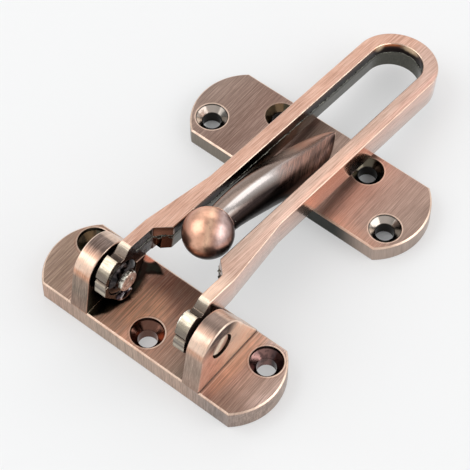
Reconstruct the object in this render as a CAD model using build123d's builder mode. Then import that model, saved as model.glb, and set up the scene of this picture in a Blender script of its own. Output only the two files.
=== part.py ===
"""Swing-bar door restrictor: a hinge unit with a swinging U-bar, and the strike
unit whose horn and ball the bar closes over.

Frame: millimetres, +Z up, X along the two plates, +Y from the hinge towards the
strike.  The origin is the middle of the hinge plate's underside.
"""
from build123d import *
from math import asin, cos, degrees, radians, sin, tan
import os

# Hinge plate
BASE_CHORD = 63.4        # straight part of the long sides
BASE_W = 24.5
BASE_T = 6.5
BASE_SAG = 5.65          # how far each curved end stands beyond the corners
EDGE_BREAK = 0.45        # worn break round the top of both plates

# Screw holes of the hinge plate
SCREW_D = 5.4            # clearance for a no. 8 wood screw
SINK_D = 9.15
SINK_RIM = 1.2           # height of the straight part above the cone
BASE_END_HOLE = (29.6, 6.3)
BASE_MID_HOLE = (0.0, -6.5)

# Pivot axis
PIVOT_Y = -2.4
PIVOT_Z = 17.4
RUN_CLEAR = 0.05         # radial, between the bar and the pins
FACE_CLEAR = 0.05        # between the bar and the washers beside it

# Swing bar
TILT = 7.66              # the bar leans this far down towards its free end
BAR_TOP = 9.35           # top face above the pivot
BAR_H = 8.5
BAR_HINGE_HALF = 14.95   # half width over the arms at the hinge
BAR_HALF = 12.15         # half width over the parallel arms
FLARE_START = 12.8       # distances along the bar, from the pivot
FLARE_END = 35.9
U_CENTRE = 104.6
SLOT_HALF = 7.85         # half width of the long slot, at the faces
LIP_START = 11.7
LIP_END = 15.5
LIP_R = 0.6
SLOT_DRAFT = 3.5         # degrees, both ways from the mid-height line
BAR_EDGE = 0.45
SLOT_EDGE = 0.2

# Knuckles at the ends of the arms, points are (along the bar, above the pivot)
KNUCKLE_T = 3.6
ARM_FRONT = 3.3          # where the arm's top face ends
NOTCH_BEVEL = (2.0, 8.7)
NOTCH_FLOOR = (0.4, 6.75)
NOTCH_END = (-0.9, 6.65)
BLOCK_CENTRE = (-0.1, 1.75)
BLOCK_R = 6.75
BLOCK_FROM = 109         # degrees round the block's centre
BLOCK_TO = 168
NICK = (-6.3, 1.95)
TOOTH_TOP = (-6.85, 1.4)
TOOTH_LOW = (-6.85, -2.2)
LOBE_FACE = (-1.3, -8.4)
LOBE_LOW = (1.6, -9.5)
LOBE_BACK = (4.1, -7.9)
ARM_HEEL = 9.0           # where the lobe runs out under the arm
SEAT_D = 11.2            # seat for the washers, sunk into the inner face
SEAT_DEPTH = 1.3
SLOT_WIDE = BAR_HINGE_HALF - KNUCKLE_T   # half width of the entry

# Ears
EAR_GAP = 1.2            # between the bar and each ear
EAR_T = 5.7
EAR_TOP_R = 7.8          # rounded top, concentric with the pivot
EAR_EDGE = 0.5
EAR_ROOT = 0.6           # how deep the ears start in the plate
EAR_IN = BAR_HINGE_HALF + EAR_GAP
EAR_OUT = EAR_IN + EAR_T

# Pins: pressed into the ears, with a neck for the washers and a peened head
PIN_D = 6.6
PIN_NECK_D = 5.0
PIN_HEAD_D = 6.1
PIN_HEAD_L = 1.2
PIN_SHOULDER = 0.3       # the shoulder stops this far below the washers' seat
PIN_SET_IN = 1.0         # outer end below the ear's face
MOUTH_D = 7.3            # wider mouth of the bore round the pin's outer end
MOUTH_DEPTH = 1.9

# Washers
WASHER_D = 10.6          # friction and spring washers, in the knuckles' seats
FRICTION_T = 0.6
SPRING_T = 0.5
SPRING_DISH = 1.35       # the spring washer's middle stands this far above its rim
THRUST_D = 10.6
WASHER_CLEAR = 0.1       # radial, round the pins
WASHER_EDGE = 0.1

# Strike plate
STRIKE_X = -1.85
STRIKE_Y = 65.15
STRIKE_CHORD = 63.5
STRIKE_W = 26.0
STRIKE_T = 5.4
STRIKE_SAG = 6.3
STRIKE_SCREW_D = 5.4
STRIKE_SINK_D = 9.2
STRIKE_FRONT_HOLE = (30.3, -5.6)
STRIKE_BACK_HOLE = (15.2, 6.85)

# Ball and horn, the horn's centres and radii in order from the plate to the ball
BALL = (-0.2, 19.1, 23.4)
BALL_R = 7.0
HORN_X = (-1.7, -2.1, -1.7, -1.1, -0.7, -0.45, -0.25)
HORN_Y = (77.45, 72.6, 61.6, 49.3, 38.4, 31.0, 24.5)
HORN_Z = (4.75, 3.95, 6.7, 13.2, 18.5, 21.4, 22.9)
HORN_R = (0.55, 3.4, 5.65, 5.9, 5.4, 4.8, 4.3)
HORN_FLOOR = 1.5         # the horn is rooted this far above the underside


def plate_outline(chord, width, sag):
    """Straight long sides and shallow arc ends that meet them at corners."""
    h, w = chord / 2, width / 2
    with BuildLine() as line:
        Line((-h, -w), (h, -w))
        ThreePointArc((h, -w), (h + sag, 0), (h, w))
        Line((h, w), (-h, w))
        ThreePointArc((-h, w), (-h - sag, 0), (-h, -w))
    return line.line


def tangent(point, centre, radius, side):
    """Where the line from a point touches a circle."""
    d = Vector(*point) - Vector(*centre)
    reach = degrees(asin(radius / d.length))
    along = Vector(*centre) + d.normalized().rotate(Axis.Z, side * (90 - reach)) * radius
    return (along.X, along.Y)


# Hinge base
front = (-BASE_W / 2, BASE_T)
back = (BASE_W / 2, BASE_T)
pivot = (PIVOT_Y, PIVOT_Z)
touch_f = tangent(front, pivot, EAR_TOP_R, -1)
touch_b = tangent(back, pivot, EAR_TOP_R, 1)

with BuildPart() as hinge_base:
    with BuildSketch():
        with BuildLine():
            add(plate_outline(BASE_CHORD, BASE_W, BASE_SAG))
        make_face()
    extrude(amount=BASE_T)
    chamfer(hinge_base.faces().sort_by(Axis.Z)[-1].edges(), EDGE_BREAK)
    # the ears are cast with the plate and span its whole width
    for sign in (-1, 1):
        with BuildPart(mode=Mode.PRIVATE) as ear:
            with BuildSketch(Plane.YZ.offset(sign * (EAR_IN + EAR_OUT) / 2)):
                with BuildLine():
                    Line(front, touch_f)
                    ThreePointArc(touch_f, (PIVOT_Y, PIVOT_Z + EAR_TOP_R), touch_b)
                    Polyline(touch_b, back, (back[0], EAR_ROOT), (front[0], EAR_ROOT), front)
                make_face()
            extrude(amount=EAR_T / 2, both=True)
            rim = [e for e in ear.edges() if e.center().Z > BASE_T
                   and abs(abs(e.center().X) - (EAR_IN + EAR_OUT) / 2) > EAR_T / 4]
            fillet(rim, EAR_EDGE)
        add(ear.part)
    # pin bores, each with a wider mouth round the pin's outer end
    with Locations(Plane.YZ.offset(0)):
        with Locations(pivot):
            Cylinder(PIN_D / 2, 2 * EAR_OUT + EAR_T, mode=Mode.SUBTRACT)
    for sign in (-1, 1):
        with Locations(Plane.YZ.offset(sign * EAR_OUT)):
            with Locations(pivot):
                Cylinder(MOUTH_D / 2, 2 * MOUTH_DEPTH, mode=Mode.SUBTRACT)
    # countersunk screw holes: two towards the back, one at the front
    spots = [(s * BASE_END_HOLE[0], BASE_END_HOLE[1]) for s in (-1, 1)] + [BASE_MID_HOLE]
    cone_h = (SINK_D - SCREW_D) / 2
    with Locations(*[(x, y, BASE_T) for x, y in spots]):
        Cylinder(SCREW_D / 2, 3 * BASE_T, mode=Mode.SUBTRACT)
        Cylinder(SINK_D / 2, SINK_RIM, align=(Align.CENTER, Align.CENTER, Align.MAX),
                 mode=Mode.SUBTRACT)
    with Locations(*[(x, y, BASE_T - SINK_RIM) for x, y in spots]):
        Cone(SCREW_D / 2, SINK_D / 2, cone_h, align=(Align.CENTER, Align.CENTER, Align.MAX),
             mode=Mode.SUBTRACT)

# Swing bar, drawn level with the pivot at the origin, and leant over at the end
bar_low = BAR_TOP - BAR_H
mid_z = BAR_TOP - BAR_H / 2
widen = BAR_H / 2 * tan(radians(SLOT_DRAFT))


def slot_lines(shrink):
    """Open-ended slot outline: entry, lips, long slot and round end."""
    w, n, open_end = SLOT_WIDE, SLOT_HALF - shrink, -2 * SLOT_WIDE
    with BuildLine() as line:
        Polyline((-w, open_end), (w, open_end), (w, LIP_START), (n, LIP_END), (n, U_CENTRE))
        ThreePointArc((n, U_CENTRE), (0, U_CENTRE + n), (-n, U_CENTRE))
        Polyline((-n, U_CENTRE), (-n, LIP_END), (-w, LIP_START), (-w, open_end))
    return line.line


def slot_cut(level, amount, draft, shrink):
    with BuildPart(mode=Mode.PRIVATE) as cut:
        with BuildSketch(Plane.XY.offset(level)) as outline:
            with BuildLine():
                add(slot_lines(shrink))
            make_face()
            fillet([v for v in outline.vertices() if 0 < v.Y < (LIP_END + FLARE_END) / 2], LIP_R)
        extrude(amount=amount, taper=-draft)
    return cut.part


def on_block(angle):
    """A point of the block's rim."""
    return (BLOCK_CENTRE[0] + BLOCK_R * cos(radians(angle)),
            BLOCK_CENTRE[1] + BLOCK_R * sin(radians(angle)))


with BuildPart() as swing_bar:
    # outline over the arms, seen from above
    with BuildSketch(Plane.XY.offset(bar_low)):
        with BuildLine():
            Polyline((-BAR_HALF, U_CENTRE), (-BAR_HALF, FLARE_END), (-BAR_HINGE_HALF, FLARE_START),
                     (-BAR_HINGE_HALF, ARM_FRONT), (BAR_HINGE_HALF, ARM_FRONT),
                     (BAR_HINGE_HALF, FLARE_START), (BAR_HALF, FLARE_END), (BAR_HALF, U_CENTRE))
            ThreePointArc((BAR_HALF, U_CENTRE), (0, U_CENTRE + BAR_HALF), (-BAR_HALF, U_CENTRE))
        make_face()
    extrude(amount=BAR_H)
    # knuckles: arm end, notch, block, nick and tooth, then the cam lobe below
    with BuildSketch(Plane.YZ):
        with BuildLine():
            Polyline((ARM_HEEL, bar_low), (ARM_HEEL, BAR_TOP), (ARM_FRONT, BAR_TOP),
                     NOTCH_BEVEL, NOTCH_FLOOR, NOTCH_END, on_block(BLOCK_FROM))
            ThreePointArc(on_block(BLOCK_FROM), on_block((BLOCK_FROM + BLOCK_TO) / 2), on_block(BLOCK_TO))
            Polyline(on_block(BLOCK_TO), NICK, TOOTH_TOP, TOOTH_LOW, LOBE_FACE)
            ThreePointArc(LOBE_FACE, LOBE_LOW, LOBE_BACK)
            Line(LOBE_BACK, (ARM_HEEL, bar_low))
        make_face()
    extrude(amount=BAR_HINGE_HALF, both=True)
    # worn edges round the outside of both faces
    for level in (BAR_TOP, bar_low):
        flat = [f for f in swing_bar.faces() if abs(f.center().Z - level) < 0.01
                and f.bounding_box().size.Z < 0.01]
        fillet([e for f in flat for e in f.edges() if e.bounding_box().size.Y > BAR_H / 2], BAR_EDGE)
    # the slot narrows to its mid-height line from both faces
    for way in (1, -1):
        add(slot_cut(mid_z, way * BAR_H / 2, SLOT_DRAFT, widen), mode=Mode.SUBTRACT)
    # and both its mouths are broken
    for level, way in ((BAR_TOP, 1), (bar_low, -1)):
        add(slot_cut(level - way * SLOT_EDGE, way * SLOT_EDGE, 45, 0), mode=Mode.SUBTRACT)
    # below the arms only the knuckles are left: open the space between them
    with Locations((0, 0, mid_z)):
        Box(2 * SLOT_WIDE, 3 * ARM_HEEL, 3 * BAR_H, align=(Align.CENTER, Align.CENTER, Align.MAX),
            mode=Mode.SUBTRACT)
    with Locations(Plane.YZ):
        Cylinder(PIN_D / 2 + RUN_CLEAR, 2 * BAR_HINGE_HALF + EAR_GAP, mode=Mode.SUBTRACT)
        Cylinder(SEAT_D / 2, 2 * (SLOT_WIDE + SEAT_DEPTH), mode=Mode.SUBTRACT)
placed_bar = Pos(0, PIVOT_Y, PIVOT_Z) * Rot(-TILT, 0, 0) * swing_bar.part

# Pins and washers, from the seat in the knuckle towards the middle
stack_1 = SLOT_WIDE + SEAT_DEPTH - FACE_CLEAR   # friction washer against the bar
stack_2 = stack_1 - FRICTION_T                  # spring washer's rim against that
stack_3 = stack_2 - SPRING_DISH - SPRING_T      # peened head against its middle
neck_hole = PIN_NECK_D / 2 + WASHER_CLEAR
body_hole = PIN_D / 2 + WASHER_CLEAR


def turned(points):
    """A piece turned about the pivot axis, from (x, radius) points."""
    with BuildPart() as piece:
        with BuildSketch(Plane.XZ):
            with BuildLine():
                Polyline(*[(x, r) for x, r in points], close=True)
            make_face()
        revolve(axis=Axis.X)
    return Pos(0, PIVOT_Y, PIVOT_Z) * piece.part


def pin():
    outer = EAR_OUT - PIN_SET_IN
    inner = stack_3 - PIN_HEAD_L
    shoulder = SLOT_WIDE + SEAT_DEPTH + PIN_SHOULDER
    body, neck, head = PIN_D / 2, PIN_NECK_D / 2, PIN_HEAD_D / 2
    soft = PIN_HEAD_L / 5
    return turned([(inner, 0), (inner + soft / 5, head - 2 * soft), (inner + soft / 2, head - soft),
                   (inner + 1.2 * soft, head - soft / 4), (inner + 2 * soft, head), (stack_3, head),
                   (stack_3, neck), (shoulder, neck), (shoulder, body), (outer - soft, body),
                   (outer, body - soft), (outer, 0)])


def spring():
    """Domed washer: its rim bears on the friction washer, its middle on the pin's head."""
    steps = 6
    rim = WASHER_D / 2
    near, far = [], []
    for i in range(steps + 1):
        r = rim + (neck_hole - rim) * i / steps
        rise = SPRING_DISH * sin(radians(90 * i / steps))
        near.append((stack_2 - rise - SPRING_T, r))
        far.append((stack_2 - rise, r))
    return turned(near + far[::-1])


def ring(near, far, hole, outside):
    """Flat washer with its outer edges broken."""
    b = WASHER_EDGE
    return turned([(near, hole), (near, outside - b), (near + b, outside), (far - b, outside),
                   (far, outside - b), (far, hole)])


def mirrored(piece):
    return piece.mirror(Plane.YZ)


friction = ring(stack_2, stack_1, neck_hole, WASHER_D / 2)
thrust = ring(BAR_HINGE_HALF + FACE_CLEAR, EAR_IN, body_hole, THRUST_D / 2)

# Strike
with BuildPart() as strike:
    with BuildSketch():
        with BuildLine():
            add(plate_outline(STRIKE_CHORD, STRIKE_W, STRIKE_SAG))
        make_face()
    extrude(amount=STRIKE_T)
    chamfer(strike.faces().sort_by(Axis.Z)[-1].edges(), EDGE_BREAK)
    spots = [(s * STRIKE_FRONT_HOLE[0], STRIKE_FRONT_HOLE[1]) for s in (-1, 1)]
    spots += [(s * STRIKE_BACK_HOLE[0], STRIKE_BACK_HOLE[1]) for s in (-1, 1)]
    with Locations(*[(x, y, STRIKE_T) for x, y in spots]):
        CounterSinkHole(STRIKE_SCREW_D / 2, STRIKE_SINK_D / 2, counter_sink_angle=90)

# the horn rises out of the plate in a point, towards the hinge, and carries the ball
with BuildPart() as horn:
    centres = list(zip(HORN_X, HORN_Y, HORN_Z))
    with BuildLine() as path:
        Spline(*centres)
    for centre, radius in zip(centres, HORN_R):
        at = path.edge().param_at_point(Vector(*centre))
        with BuildSketch(Plane(origin=path.edge() @ at, z_dir=path.edge() % at, x_dir=(1, 0, 0))):
            Circle(radius)
    loft()
    with Locations((STRIKE_X, STRIKE_Y, HORN_FLOOR)):
        Box(STRIKE_CHORD, 3 * STRIKE_W, 4 * STRIKE_T, align=(Align.CENTER, Align.CENTER, Align.MAX),
            mode=Mode.SUBTRACT)
    with Locations(BALL):
        Sphere(BALL_R)
strike_part = (Pos(STRIKE_X, STRIKE_Y, 0) * strike.part) + horn.part

# Output
pieces = {
    "hinge_base": hinge_base.part,
    "swing_bar": placed_bar,
    "pivot_pin_right": pin(),
    "pivot_pin_left": mirrored(pin()),
    "friction_washer_right": friction,
    "friction_washer_left": mirrored(friction),
    "spring_washer_right": spring(),
    "spring_washer_left": mirrored(spring()),
    "thrust_washer_right": thrust,
    "thrust_washer_left": mirrored(thrust),
    "strike": strike_part,
}
os.makedirs("parts", exist_ok=True)
for node, piece in pieces.items():
    piece.label = node
    export_step(piece, f"parts/{node}.step")
    print(node, len(piece.solids()), round(piece.volume, 1), piece.bounding_box())
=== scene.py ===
"""Looks for the swing-bar door restrictor: burnished copper over a dark oxide,
with the tool marks, worn edges and casting flash of the real thing."""
import math

import bpy
from mathutils import Matrix, Vector, noise


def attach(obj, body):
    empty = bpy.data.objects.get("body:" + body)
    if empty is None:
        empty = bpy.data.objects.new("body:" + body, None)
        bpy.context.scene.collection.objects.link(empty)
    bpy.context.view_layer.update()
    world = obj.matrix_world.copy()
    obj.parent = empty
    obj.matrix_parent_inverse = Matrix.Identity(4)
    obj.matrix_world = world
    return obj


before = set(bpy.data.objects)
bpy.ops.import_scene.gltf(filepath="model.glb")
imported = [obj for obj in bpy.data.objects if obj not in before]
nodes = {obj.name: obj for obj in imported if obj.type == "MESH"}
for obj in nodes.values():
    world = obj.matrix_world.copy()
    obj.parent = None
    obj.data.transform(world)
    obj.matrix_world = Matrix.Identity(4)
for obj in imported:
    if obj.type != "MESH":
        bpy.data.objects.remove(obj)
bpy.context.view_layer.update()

# Sizes in mm, as in the CAD
PIVOT = (0.0, -2.4, 17.4)
TILT = 7.66
BASE_T = 6.5
EAR_IN, EAR_OUT = 16.15, 21.85
BAR_TOP, BAR_H = 9.35, 8.5
SLOT_WIDE, SLOT_HALF = 11.35, 7.85
LIP_START, LIP_END, U_CENTRE = 11.7, 15.5, 104.6
SLOT_DRAFT = 3.5
STRIKE_T = 5.4
STRIKE_MIDDLE = (-1.85, 65.15)
BALL, BALL_R = (-0.2, 19.1, 23.4), 7.0
PIN_END = 8.95
HINGE_HOLES = ((-29.6, 6.3), (29.6, 6.3), (0.0, -6.5))
STRIKE_HOLES = ((-30.3, -5.6), (30.3, -5.6), (-15.2, 6.85), (15.2, 6.85))

# The slot's parting line, and the rounded inner faces of the lobes as (y, z) in the bar's frame
PARTING = BAR_TOP - 0.37 * BAR_H
LOBE, LOBE_HALF = (1.0, -7.45), (3.0, 1.7)
LOBE_RISE, LOBE_SUNK = 1.36, 0.06

# The disc on a pin's outer end, as (x, radius) from its rim to the axis
PIN_DISC = (
    (20.75, 3.28), (21.0, 3.28), (21.2, 3.18), (21.26, 2.98), (21.22, 2.72), (21.18, 2.3), (21.18, 0.0))

# The floor in metres, and the colour behind everything
FLOOR_HALF, FLOOR_Z = 4.0, -0.0002
BACKDROP = (0.885, 0.89, 0.89, 1)


def colour(r, g, b):
    """Linear colour from 0-255 display values."""
    return tuple(((v / 255 + 0.055) / 1.055) ** 2.4 if v > 10 else v / 3294.6 for v in (r, g, b)) + (1.0,)


# Camera
CAM_AZ, CAM_EL, CAM_DISTANCE = -51.16, 56.22, 0.5394
CAM_AIM = Vector((-0.00416, 0.03516, 0.0))
az, el = math.radians(CAM_AZ), math.radians(CAM_EL)
back = Vector((math.cos(az) * math.cos(el), math.sin(az) * math.cos(el), math.sin(el)))
right = Vector((-math.sin(az), math.cos(az), 0.0))
up = back.cross(right)
cam = bpy.data.objects.new("camera", bpy.data.cameras.new("camera"))
bpy.context.scene.collection.objects.link(cam)
cam.matrix_world = Matrix((
    (right.x, up.x, back.x, 0), (right.y, up.y, back.y, 0), (right.z, up.z, back.z, 0), (0, 0, 0, 1)))
cam.matrix_world.translation = CAM_AIM + back * CAM_DISTANCE
cam.data.sensor_width = 36.0
cam.data.lens = 150.9
cam.data.clip_start = 0.01
bpy.context.scene.camera = cam


# Material helpers
class Finish:
    """A procedural metal, with short names for its nodes."""

    def __init__(self, name):
        self.mat = bpy.data.materials.new(name)
        self.mat.use_nodes = True
        self.tree = self.mat.node_tree
        self.tree.nodes.clear()
        out = self.add("ShaderNodeOutputMaterial")
        self.bsdf = self.add("ShaderNodeBsdfPrincipled")
        self.join(self.bsdf.outputs[0], out.inputs[0])
        coords = self.add("ShaderNodeTexCoord")
        self.place, self.normal = coords.outputs["Object"], coords.outputs["Normal"]
        self.p = self.scaled(self.place, 1000.0)
        self.n = self.normal

    def add(self, kind, **props):
        node = self.tree.nodes.new(kind)
        for key, value in props.items():
            setattr(node, key, value)
        return node

    def join(self, a, b):
        self.tree.links.new(a, b)

    def put(self, value, socket):
        if isinstance(value, bpy.types.NodeSocket):
            self.join(value, socket)
        else:
            socket.default_value = value

    def m(self, op, a, b=0.0, c=0.0, clamp=False):
        node = self.add("ShaderNodeMath", operation=op, use_clamp=clamp)
        self.put(a, node.inputs[0])
        self.put(b, node.inputs[1])
        self.put(c, node.inputs[2])
        return node.outputs[0]

    def v(self, op, a, b=(0, 0, 0), out=0):
        node = self.add("ShaderNodeVectorMath", operation=op)
        self.put(a, node.inputs[0])
        self.put(b, node.inputs[1])
        return node.outputs[out]

    def scaled(self, vector, k):
        node = self.add("ShaderNodeVectorMath", operation="SCALE")
        self.put(vector, node.inputs[0])
        node.inputs["Scale"].default_value = k
        return node.outputs[0]

    def split(self, vector):
        node = self.add("ShaderNodeSeparateXYZ")
        self.put(vector, node.inputs[0])
        return node.outputs

    def vec(self, x, y, z):
        node = self.add("ShaderNodeCombineXYZ")
        for value, socket in zip((x, y, z), node.inputs):
            self.put(value, socket)
        return node.outputs[0]

    def turn_x(self, vector, angle):
        node = self.add("ShaderNodeVectorRotate", rotation_type="X_AXIS")
        self.put(vector, node.inputs["Vector"])
        node.inputs["Angle"].default_value = math.radians(angle)
        return node.outputs[0]

    def noise(self, vector, scale=1.0, detail=2.0, rough=0.5, warp=0.0):
        node = self.add("ShaderNodeTexNoise")
        self.put(vector, node.inputs["Vector"])
        node.inputs["Scale"].default_value = scale
        node.inputs["Detail"].default_value = detail
        node.inputs["Roughness"].default_value = rough
        node.inputs["Distortion"].default_value = warp
        return node.outputs[0]

    def stretched(self, factors, detail, rough=0.5):
        """Noise drawn out along the axes with small factors."""
        return self.noise(self.v("MULTIPLY", self.p, factors), 1.0, detail, rough)

    def step(self, x, lo, hi, a=0.0, b=1.0):
        """Smooth step from a below lo to b above hi."""
        node = self.add("ShaderNodeMapRange", interpolation_type="SMOOTHSTEP")
        self.put(x, node.inputs["Value"])
        node.inputs["From Min"].default_value = lo
        node.inputs["From Max"].default_value = hi
        node.inputs["To Min"].default_value = a
        node.inputs["To Max"].default_value = b
        return node.outputs[0]

    def line(self, x, at, half):
        """1 on a line at x, falling to 0 half a width away."""
        return self.step(self.m("ABSOLUTE", self.m("SUBTRACT", x, at)), 0.0, half, 1.0, 0.0)

    def angle(self, a, b):
        """Angle in degrees of (a over b), 0 along b and 90 along a."""
        return self.m("MULTIPLY", self.m("ARCTAN2", a, b), 180 / math.pi)

    def ramp(self, x, lo, hi, stops):
        """Colour along x, from (value, colour) pairs between lo and hi."""
        node = self.add("ShaderNodeValToRGB")
        self.put(self.m("DIVIDE", self.m("SUBTRACT", x, lo), hi - lo), node.inputs[0])
        found = node.color_ramp.elements
        for i, (value, col) in enumerate(stops):
            at = (value - lo) / (hi - lo)
            stop = found[i] if i < 2 else found.new(at)
            stop.position = at
            stop.color = col
        return node.outputs[0]

    def curve(self, x, points):
        """A value along x, straight between (x, value) pairs."""
        low, high = min(v for _, v in points), max(v for _, v in points)
        greys = [(at, ((v - low) / (high - low),) * 3 + (1.0,)) for at, v in points]
        grey = self.ramp(x, points[0][0], points[-1][0], greys)
        return self.m("ADD", self.m("MULTIPLY", self.split(grey)[0], high - low), low)

    def mix(self, fac, a, b):
        node = self.add("ShaderNodeMix", data_type="RGBA")
        self.put(fac, node.inputs["Factor"])
        self.put(a, node.inputs[6])
        self.put(b, node.inputs[7])
        return node.outputs[2]

    def blend(self, fac, a, b):
        node = self.add("ShaderNodeMix", data_type="FLOAT")
        self.put(fac, node.inputs["Factor"])
        self.put(a, node.inputs[2])
        self.put(b, node.inputs[3])
        return node.outputs[0]

    def both(self, a, b):
        return self.m("MULTIPLY", a, b)

    def either(self, a, b):
        return self.m("MAXIMUM", a, b)

    def invert(self, a):
        return self.m("SUBTRACT", 1.0, a)

    def belt_lines(self, base, fine, where, light, dark):
        """Fine bright and dark lines, each a (strength, colour) pair."""
        base = self.mix(self.both(self.step(fine, 0.49, 0.66, 0.0, light[0]), where), base, light[1])
        return self.mix(self.both(self.step(fine, 0.50, 0.34, 0.0, dark[0]), where), base, dark[1])

    def edges(self, radius_mm):
        """(mask of worn sharp edges, normal softened over them)"""
        node = self.add("ShaderNodeBevel", samples=4)
        node.inputs["Radius"].default_value = radius_mm / 1000
        geometry = self.add("ShaderNodeNewGeometry")
        dot = self.v("DOT_PRODUCT", node.outputs[0], geometry.outputs["Normal"], out=1)
        return self.step(dot, 0.80, 0.995, 1.0, 0.0), node.outputs[0]

    def distance(self, centre, drop=None):
        """Distance in mm from a point, or from an axis through it."""
        d = self.v("SUBTRACT", self.p, tuple(centre))
        if drop is not None:
            keep = [1.0, 1.0, 1.0]
            keep[drop] = 0.0
            d = self.v("MULTIPLY", d, tuple(keep))
        return self.v("LENGTH", d, out=1)

    def finish(self, base, rough, heights=(), normal=None, metal=1.0):
        """heights: (socket, depth in mm) pairs for the bump."""
        self.put(base, self.bsdf.inputs["Base Color"])
        self.put(metal, self.bsdf.inputs["Metallic"])
        self.put(rough, self.bsdf.inputs["Roughness"])
        last = normal
        for height, depth in heights:
            bump = self.add("ShaderNodeBump")
            bump.inputs["Strength"].default_value = 1.0
            bump.inputs["Distance"].default_value = depth / 1000
            self.put(height, bump.inputs["Height"])
            if last is not None:
                self.join(last, bump.inputs["Normal"])
            last = bump.outputs[0]
        if last is not None:
            self.join(last, self.bsdf.inputs["Normal"])
        return self.mat


# Colours of the finish, from raw copper to the oxide that was left in the hollows, and a dark brown for
# painted shade
# the dark brown used for painted shade on the bar's underside, the horn's end and the ball's underside
DARK_SHADE = colour(44, 36, 34)
GREEN_OXIDE = colour(84, 86, 80)
BLACK = colour(16, 13, 13)
BRIGHT = colour(255, 226, 204)


# Hinge base
def hinge_finish():
    f = Finish("antique_copper_hinge")
    x, y, z = f.split(f.p)
    nx, ny, nz = f.split(f.n)
    ax, anx = f.m("ABSOLUTE", x), f.m("ABSOLUTE", nx)
    worn, soft = f.edges(0.3)

    # belt marks run along the plate's width on top and up the ears' slopes, and slant on their sides
    across = f.stretched((2.8, 0.045, 0.07), 4, 0.7)
    slant = f.m("ADD", f.m("MULTIPLY", z, 3.4), f.m("MULTIPLY", y, -2.0))
    level = f.vec(0.37, f.m("MULTIPLY", f.m("ADD", y, z), 0.16), slant)
    on_side = f.step(anx, 0.5, 0.8)
    marks = f.blend(on_side, across, f.noise(level, 1.0, 4, 0.7))
    fine = f.stretched((6.0, 0.15, 0.35), 3, 0.7)
    patches = f.noise(f.p, 0.10, 2, 0.5)
    streaks = f.step(marks, 0.36, 0.62)

    plate_top = f.both(f.step(nz, 0.93, 0.99), f.line(z, BASE_T, 0.3))
    ear = f.step(z, 6.6, 6.9)

    # the plate: olive at the left end, redder in the middle, pinker at the right end
    top_col = f.ramp(x, -42.0, 42.0, (
        (-42.0, colour(176, 150, 132)), (-30.0, colour(168, 142, 122)), (-22.0, colour(182, 152, 134)),
        (-11.0, colour(252, 190, 156)), (-2.0, colour(238, 176, 146)), (8.0, colour(206, 156, 132)),
        (15.0, colour(176, 156, 140)), (24.0, colour(182, 140, 124)), (29.0, colour(214, 172, 154)),
        (36.0, colour(228, 196, 182))))
    # the plate between the ears under the bar's hinge end is painted darker red-brown, a painted shade
    middle = f.both(f.both(f.step(ax, 12.0, 16.0, 1.0, 0.0), plate_top), f.step(y, -3.0, 9.0))
    top_col = f.mix(f.m("MULTIPLY", middle, 0.75), top_col, colour(122, 66, 50))
    # a painted highlight: a peach pool of light on the plate between the ears
    peach_highlight = f.step(f.distance((-5.2, -1.6, 0), drop=2), 9.0, 3.0)
    top_col = f.mix(f.both(f.both(peach_highlight, plate_top), 0.95), top_col, colour(255, 190, 152))
    # the right end is painted paler at the back, a painted reflection of the lamp, and is browner along the
    # front
    right_end = f.both(f.step(x, 22.5, 24.0), plate_top)
    top_col = f.mix(f.both(right_end, f.step(y, 2.0, 12.0, 0.0, 0.7)), top_col, colour(250, 222, 210))
    top_col = f.mix(f.both(right_end, f.step(y, -4.0, -10.0, 0.0, 0.62)), top_col, colour(128, 96, 82))
    foot = f.both(f.both(f.step(x, 22.1, 22.8), f.step(x, 27.0, 24.4)), f.step(y, -12.0, -7.0))
    top_col = f.mix(f.both(f.both(foot, plate_top), 0.85), top_col, colour(255, 198, 168))
    base = f.mix(streaks, f.mix(0.5, top_col, colour(92, 66, 56)), top_col)
    base = f.mix(f.both(f.step(patches, 0.45, 0.62), 0.35), base, colour(150, 122, 104))

    # the sides of the plate are duller, and pinker towards the left
    flank = f.both(f.step(nz, 0.2, 0.5, 1.0, 0.0), f.step(z, 6.2, 6.6, 1.0, 0.0))
    side_col = f.ramp(x, -40.0, 40.0, (
        (-40.0, colour(200, 160, 138)), (-10.0, colour(190, 168, 150)), (16.0, colour(196, 168, 150)),
        (28.0, colour(150, 138, 132)), (40.0, colour(184, 160, 146))))
    base = f.mix(flank, base, f.mix(streaks, f.mix(0.35, side_col, colour(100, 84, 76)), side_col))

    # the ears: colour set by the angle round the pivot, a painted highlight of copper on the bend with
    # grey-brown above and below it, over the belt marks
    around = f.angle(f.m("SUBTRACT", z, PIVOT[2]), f.m("SUBTRACT", PIVOT[1], y))
    rim_marks_and_sheen = f.ramp(around, -50.0, 160.0, (
        (-50.0, colour(150, 122, 106)), (-25.0, colour(134, 120, 106)), (5.0, colour(160, 138, 122)),
        (18.0, colour(224, 168, 136)), (50.0, colour(236, 184, 150)), (68.0, colour(204, 164, 142)),
        (84.0, colour(124, 106, 98)), (112.0, colour(112, 98, 92)), (130.0, colour(176, 152, 138)),
        (160.0, colour(190, 160, 142))))
    rim_marks_and_sheen = f.mix(streaks, f.mix(0.32, rim_marks_and_sheen, colour(84, 68, 60)), rim_marks_and_sheen)
    # the right ear's rim is painted paler than the left, a painted difference of light
    rim_marks_and_sheen = f.mix(f.step(x, 0.0, 10.0, 0.0, 0.3), rim_marks_and_sheen, colour(204, 176, 160))
    front_face = f.mix(streaks, colour(192, 138, 117), colour(228, 178, 156))
    back_face = f.mix(streaks, colour(240, 192, 164), colour(255, 228, 204))
    face_col = f.mix(f.step(y, -7.0, 3.0), front_face, back_face)
    hub = f.distance(PIVOT, drop=0)
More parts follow.
